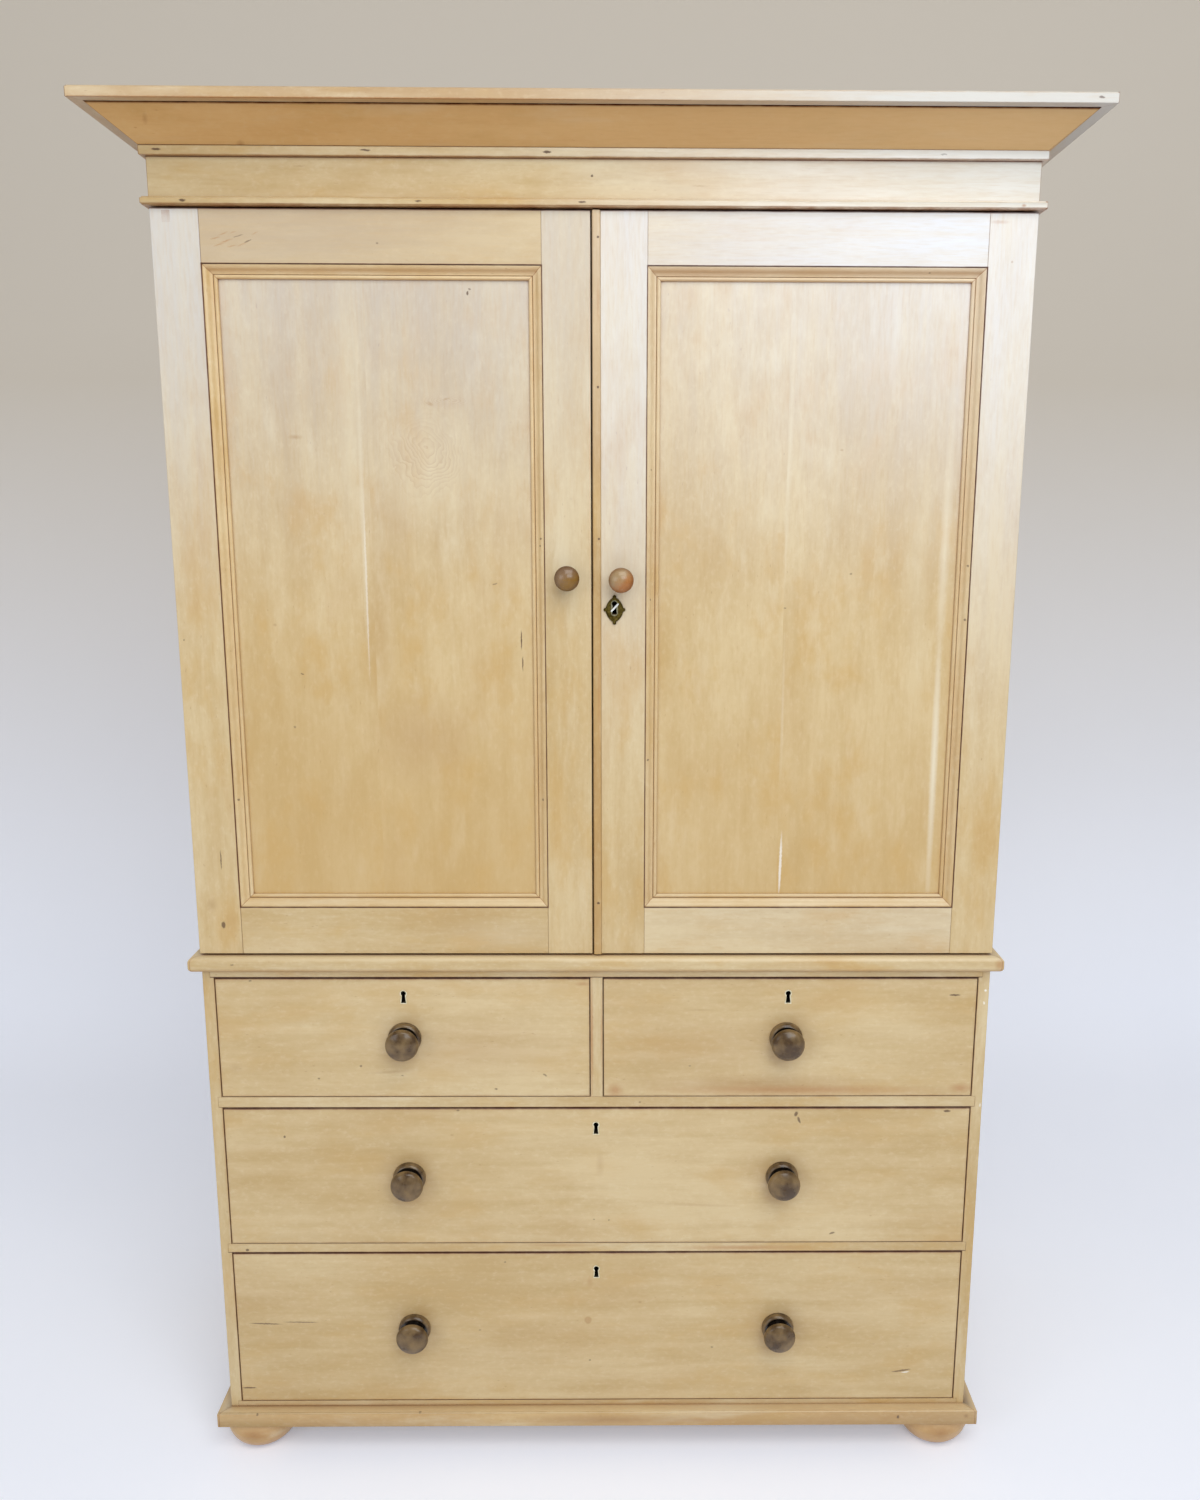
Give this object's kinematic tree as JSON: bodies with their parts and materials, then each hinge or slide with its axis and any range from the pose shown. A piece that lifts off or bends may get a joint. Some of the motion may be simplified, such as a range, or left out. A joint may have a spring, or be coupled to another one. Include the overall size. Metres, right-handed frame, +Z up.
{
  "type": "linen press",
  "caption": "Waxed pine linen press: panelled cupboard doors over short and long drawers, raked cornice, moulded base and turned bun feet.",
  "frame": {"origin": "on the floor, midway between the outermost faces from side to side and from front to back", "axes": "+Z up, +X to the right of someone facing the doors, the doors and drawers face -Y"},
  "size_m": [1.342, 0.634, 2.04],
  "materials": {
    "pine_sides": "waxed",
    "pine_rails": "waxed",
    "pine_frieze": "waxed",
    "pine_cornice": "waxed",
    "pine_stiles": "waxed",
    "pine_door_rails": "waxed",
    "pine_panels": "waxed",
    "pine_panel_moulding": "waxed",
    "pine_drawer_fronts": "waxed",
    "raw_pine": "bare",
    "foot_pine": "waxed",
    "drawer_knob_wood": "satin",
    "door_knob_wood": "satin",
    "aged_brass": "tarnished",
    "brass": "dull",
    "iron": "rubbed"
  },
  "bodies": {
    "carcase": {"bun_feet": "foot_pine", "base_moulding": "pine_rails", "chest_side_left": "pine_sides", "chest_side_right": "pine_sides", "chest_bottom": "raw_pine", "drawer_rails": "pine_rails", "drawer_divider": "pine_sides", "drawer_runners": "raw_pine", "chest_back": "raw_pine", "waist_board": "pine_rails", "cupboard_side_left": "pine_sides", "cupboard_side_right": "pine_sides", "cupboard_floor": "raw_pine", "cupboard_top": "raw_pine", "cupboard_back": "raw_pine", "shelves": "raw_pine", "frieze": "pine_frieze", "necking_moulding": "pine_frieze", "cornice_fillet": "pine_frieze", "raked_cornice": "pine_cornice", "cornice_cap": "pine_cornice", "hinge_case_leaves": "iron"},
    "left_door": {"left_door_stiles": "pine_stiles", "left_door_rails": "pine_door_rails", "left_door_panel": "pine_panels", "left_door_moulding": "pine_panel_moulding", "left_door_knob": "door_knob_wood", "left_door_hinge_leaves": "iron", "left_door_bolt_plate": "iron"},
    "right_door": {"right_door_stiles": "pine_stiles", "right_door_rails": "pine_door_rails", "right_door_panel": "pine_panels", "right_door_moulding": "pine_panel_moulding", "right_door_knob": "door_knob_wood", "right_door_hinge_leaves": "iron", "meeting_bead": "pine_stiles", "door_lock_case": "iron", "door_escutcheon": "aged_brass"},
    "left_door_bolt": {"left_door_bolt": "iron"},
    "door_lock_bolt": {"door_lock_bolt": "brass"},
    "left_short_drawer": {"left_short_drawer_front": "pine_drawer_fronts", "left_short_drawer_box": "raw_pine", "left_short_drawer_knob": "drawer_knob_wood", "left_short_drawer_lock": "brass"},
    "left_short_drawer_lock_bolt": {"left_short_drawer_lock_bolt": "brass"},
    "right_short_drawer": {"right_short_drawer_front": "pine_drawer_fronts", "right_short_drawer_box": "raw_pine", "right_short_drawer_knob": "drawer_knob_wood", "right_short_drawer_lock": "brass"},
    "right_short_drawer_lock_bolt": {"right_short_drawer_lock_bolt": "brass"},
    "upper_long_drawer": {"upper_long_drawer_front": "pine_drawer_fronts", "upper_long_drawer_box": "raw_pine", "upper_long_drawer_knobs": "drawer_knob_wood", "upper_long_drawer_lock": "brass"},
    "upper_long_drawer_lock_bolt": {"upper_long_drawer_lock_bolt": "brass"},
    "lower_long_drawer": {"lower_long_drawer_front": "pine_drawer_fronts", "lower_long_drawer_box": "raw_pine", "lower_long_drawer_knobs": "drawer_knob_wood", "lower_long_drawer_lock": "brass"},
    "lower_long_drawer_lock_bolt": {"lower_long_drawer_lock_bolt": "brass"}
  },
  "joints": [
    {"name": "left_door_hinge", "type": "hinge", "parent": "carcase", "child": "left_door", "pos_m": [-0.6012, -0.2235, 1.38375], "axis": [0, 0, -1], "range_deg": [0, 170]},
    {"name": "right_door_hinge", "type": "hinge", "parent": "carcase", "child": "right_door", "pos_m": [0.6012, -0.2235, 1.38375], "axis": [0, 0, 1], "range_deg": [0, 170]},
    {"name": "left_door_bolt_slide", "type": "slide", "parent": "left_door", "child": "left_door_bolt", "axis": [0, 0, 1], "range_m": [0, 0.013]},
    {"name": "door_lock_bolt_slide", "type": "slide", "parent": "right_door", "child": "door_lock_bolt", "axis": [-1, 0, 0], "range_m": [0, 0.011]},
    {"name": "left_short_drawer_slide", "type": "slide", "parent": "carcase", "child": "left_short_drawer", "axis": [0, -1, 0], "range_m": [0, 0.4]},
    {"name": "left_short_drawer_lock_bolt_slide", "type": "slide", "parent": "left_short_drawer", "child": "left_short_drawer_lock_bolt", "axis": [0, 0, 1], "range_m": [0, 0.008]},
    {"name": "right_short_drawer_slide", "type": "slide", "parent": "carcase", "child": "right_short_drawer", "axis": [0, -1, 0], "range_m": [0, 0.4]},
    {"name": "right_short_drawer_lock_bolt_slide", "type": "slide", "parent": "right_short_drawer", "child": "right_short_drawer_lock_bolt", "axis": [0, 0, 1], "range_m": [0, 0.008]},
    {"name": "upper_long_drawer_slide", "type": "slide", "parent": "carcase", "child": "upper_long_drawer", "axis": [0, -1, 0], "range_m": [0, 0.4]},
    {"name": "upper_long_drawer_lock_bolt_slide", "type": "slide", "parent": "upper_long_drawer", "child": "upper_long_drawer_lock_bolt", "axis": [0, 0, 1], "range_m": [0, 0.008]},
    {"name": "lower_long_drawer_slide", "type": "slide", "parent": "carcase", "child": "lower_long_drawer", "axis": [0, -1, 0], "range_m": [0, 0.4]},
    {"name": "lower_long_drawer_lock_bolt_slide", "type": "slide", "parent": "lower_long_drawer", "child": "lower_long_drawer_lock_bolt", "axis": [0, 0, 1], "range_m": [0, 0.008]}
  ]
}
